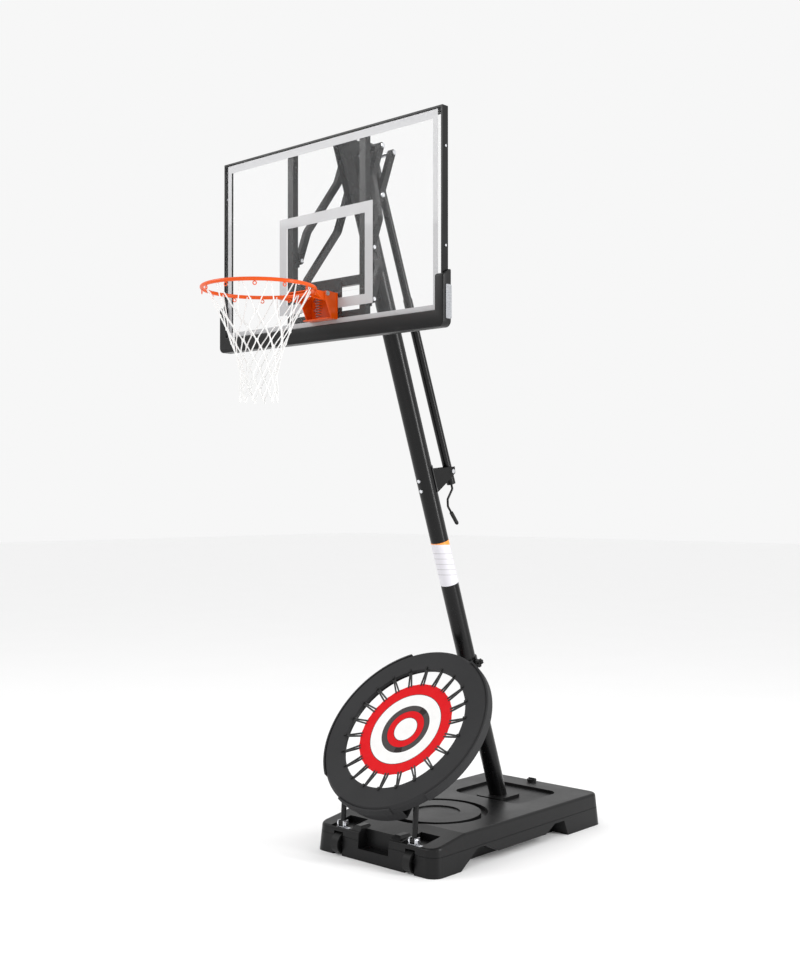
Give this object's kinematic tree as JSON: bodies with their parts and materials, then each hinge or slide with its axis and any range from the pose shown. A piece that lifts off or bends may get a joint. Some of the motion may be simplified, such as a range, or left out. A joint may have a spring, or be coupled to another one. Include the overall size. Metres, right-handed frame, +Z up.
{
  "type": "portable basketball hoop",
  "caption": "Free-standing basketball hoop with a clear backboard, crank height jack, breakaway rim, net, leaning pole, water-filled wheeled base and round rebounder.",
  "frame": {"origin": "centre of the base's underside, on the floor", "axes": "+Z up, the board and rim face -Y, +X to the right of a player who looks at the board"},
  "size_m": [1.4104, 2.258, 3.2967],
  "materials": {
    "base_plastic": "satin black blow-moulded polyethylene",
    "ballast": "water ballast",
    "wheel_plastic": "black moulded wheel",
    "black_steel": "gloss black powder coat",
    "zinc": "bright zinc plate",
    "label": "printed sticker in plain bands",
    "panel": "clear acrylic with painted white lines",
    "pad": "black moulded foam pad",
    "side_metal": "brushed metal trim",
    "rim_orange": "orange powder coat",
    "spring_steel": "oiled spring steel",
    "net_cord": "braided white nylon cord",
    "nylon": "natural nylon",
    "grip_rubber": "black rubber",
    "ring_plastic": "dark grey textured polypropylene",
    "mat_fabric": "woven mat printed with red and white rings",
    "bungee": "black bungee cord"
  },
  "bodies": {
    "stand": {"base_tank": "base_plastic", "ballast_water": "ballast", "wheel_axles": "zinc", "lower_pole": "black_steel", "upper_pole": "black_steel", "pole_cap": "base_plastic", "height_label": "label", "head_bracket": "black_steel", "jack_bracket": "black_steel", "pole_bolts": "zinc", "pivot_bolts": "zinc", "pole_clamp": "black_steel", "clamp_bolt": "zinc", "cradle_pin": "zinc", "hinge_ears": "zinc", "jack_pivot_stubs": "zinc"},
    "fill_cap": {"fill_cap": "base_plastic"},
    "left_wheel": {"left_wheel": "wheel_plastic"},
    "right_wheel": {"right_wheel": "wheel_plastic"},
    "clamp_knob": {"clamp_knob": "base_plastic"},
    "lower_arms": {"left_lower_arm": "black_steel", "right_lower_arm": "black_steel", "lower_arm_bushes": "nylon", "lever_pins": "zinc"},
    "upper_arms": {"left_upper_arm": "black_steel", "right_upper_arm": "black_steel", "upper_arm_bushes": "nylon"},
    "board": {"backboard_panel": "panel", "frame_side_rails": "black_steel", "frame_top_rail": "black_steel", "frame_bottom_rail": "black_steel", "frame_side_bolts": "zinc", "board_channels": "black_steel", "channel_cross_bars": "black_steel", "rim_back_plate": "black_steel", "arm_clevises": "black_steel", "clevis_bolts": "zinc", "bottom_pad": "pad", "side_plates": "side_metal", "rim_mount": "rim_orange", "rim_pivot_bolt": "zinc", "rim_mount_bolts": "zinc", "breakaway_spring": "spring_steel"},
    "rim": {"rim_ring": "rim_orange", "net_hooks": "rim_orange", "net": "net_cord"},
    "jack_tube": {"jack_tube": "black_steel", "jack_thrust_block": "spring_steel"},
    "jack_rod": {"jack_rod": "black_steel", "jack_nut": "spring_steel"},
    "crank": {"crank_rod": "black_steel", "jack_screw": "spring_steel"},
    "crank_grip": {"crank_grip": "grip_rubber"},
    "rebounder": {"rebounder_ring": "ring_plastic", "rebounder_back_pan": "ring_plastic", "rebounder_mat": "mat_fabric", "rebounder_bungees": "bungee", "bungee_hooks": "base_plastic", "rebounder_frame": "black_steel"}
  },
  "joints": [
    {"name": "height_adjust", "type": "hinge", "parent": "stand", "child": "lower_arms", "pos_m": [0, -0.72698, 3.038], "axis": [-1, 0, 0], "range_deg": [0, 69.17]},
    {"name": "upper_arm_swing", "type": "hinge", "parent": "stand", "child": "upper_arms", "pos_m": [0, -0.72698, 3.262], "axis": [-1, 0, 0], "range_deg": [-0.01, 69.18]},
    {"name": "board_level", "type": "hinge", "parent": "lower_arms", "child": "board", "pos_m": [0, -0.90996, 2.53526], "axis": [-1, 0, 0], "range_deg": [-69.18, 0.01]},
    {"name": "jack_tilt", "type": "hinge", "parent": "stand", "child": "jack_tube", "pos_m": [0, -0.12201, 1.808], "axis": [-1, 0, 0], "range_deg": [-0.01, 2.91]},
    {"name": "jack_stroke", "type": "slide", "parent": "jack_tube", "child": "jack_rod", "axis": [0, 0.3459, -0.9383], "range_m": [-0.0001, 0.2395]},
    {"name": "crank_turn", "type": "hinge", "parent": "jack_tube", "child": "crank", "pos_m": [0, -0.12201, 1.808], "axis": [0, -0.3459, 0.9383], "range_deg": [-1, 3601]},
    {"name": "grip_spin", "type": "hinge", "parent": "crank", "child": "crank_grip", "pos_m": [0, -0.10146, 1.60774], "axis": [0, 0.6385, -0.7696], "continuous": true},
    {"name": "rim_breakaway", "type": "hinge", "parent": "board", "child": "rim", "pos_m": [0, -1.03196, 2.563], "axis": [1, 0, 0], "range_deg": [0, 30], "stiffness_Nm_per_rad": 80, "springref_deg": -22.92, "deforming": ["breakaway_spring"]},
    {"name": "left_wheel_spin", "type": "hinge", "parent": "stand", "child": "left_wheel", "pos_m": [-0.226, -0.6355, 0.051], "axis": [1, 0, 0], "continuous": true},
    {"name": "right_wheel_spin", "type": "hinge", "parent": "stand", "child": "right_wheel", "pos_m": [0.226, -0.6355, 0.051], "axis": [1, 0, 0], "continuous": true},
    {"name": "rebounder_fold", "type": "hinge", "parent": "stand", "child": "rebounder", "pos_m": [0, -0.625, 0.14], "axis": [1, 0, 0], "range_deg": [0, 35]},
    {"name": "fill_cap_turn", "type": "hinge", "parent": "stand", "child": "fill_cap", "pos_m": [-0.035, 0.6105, 0.166], "axis": [0, 0, 1], "range_deg": [0, 360]},
    {"name": "clamp_knob_turn", "type": "hinge", "parent": "stand", "child": "clamp_knob", "pos_m": [0.0685, 0.02747, 0.858], "axis": [0, 0.9433, 0.3318], "range_deg": [0, 720]}
  ],
  "couplings": [
    {"joint": "upper_arm_swing", "follows": "height_adjust", "ratio": 1},
    {"joint": "board_level", "follows": "height_adjust", "ratio": -1},
    {"joint": "jack_tilt", "follows": "height_adjust", "ratio": 0.041938},
    {"joint": "jack_stroke", "follows": "height_adjust", "m_per_rad": 0.1983},
    {"joint": "crank_turn", "follows": "height_adjust", "ratio": 52.045}
  ]
}
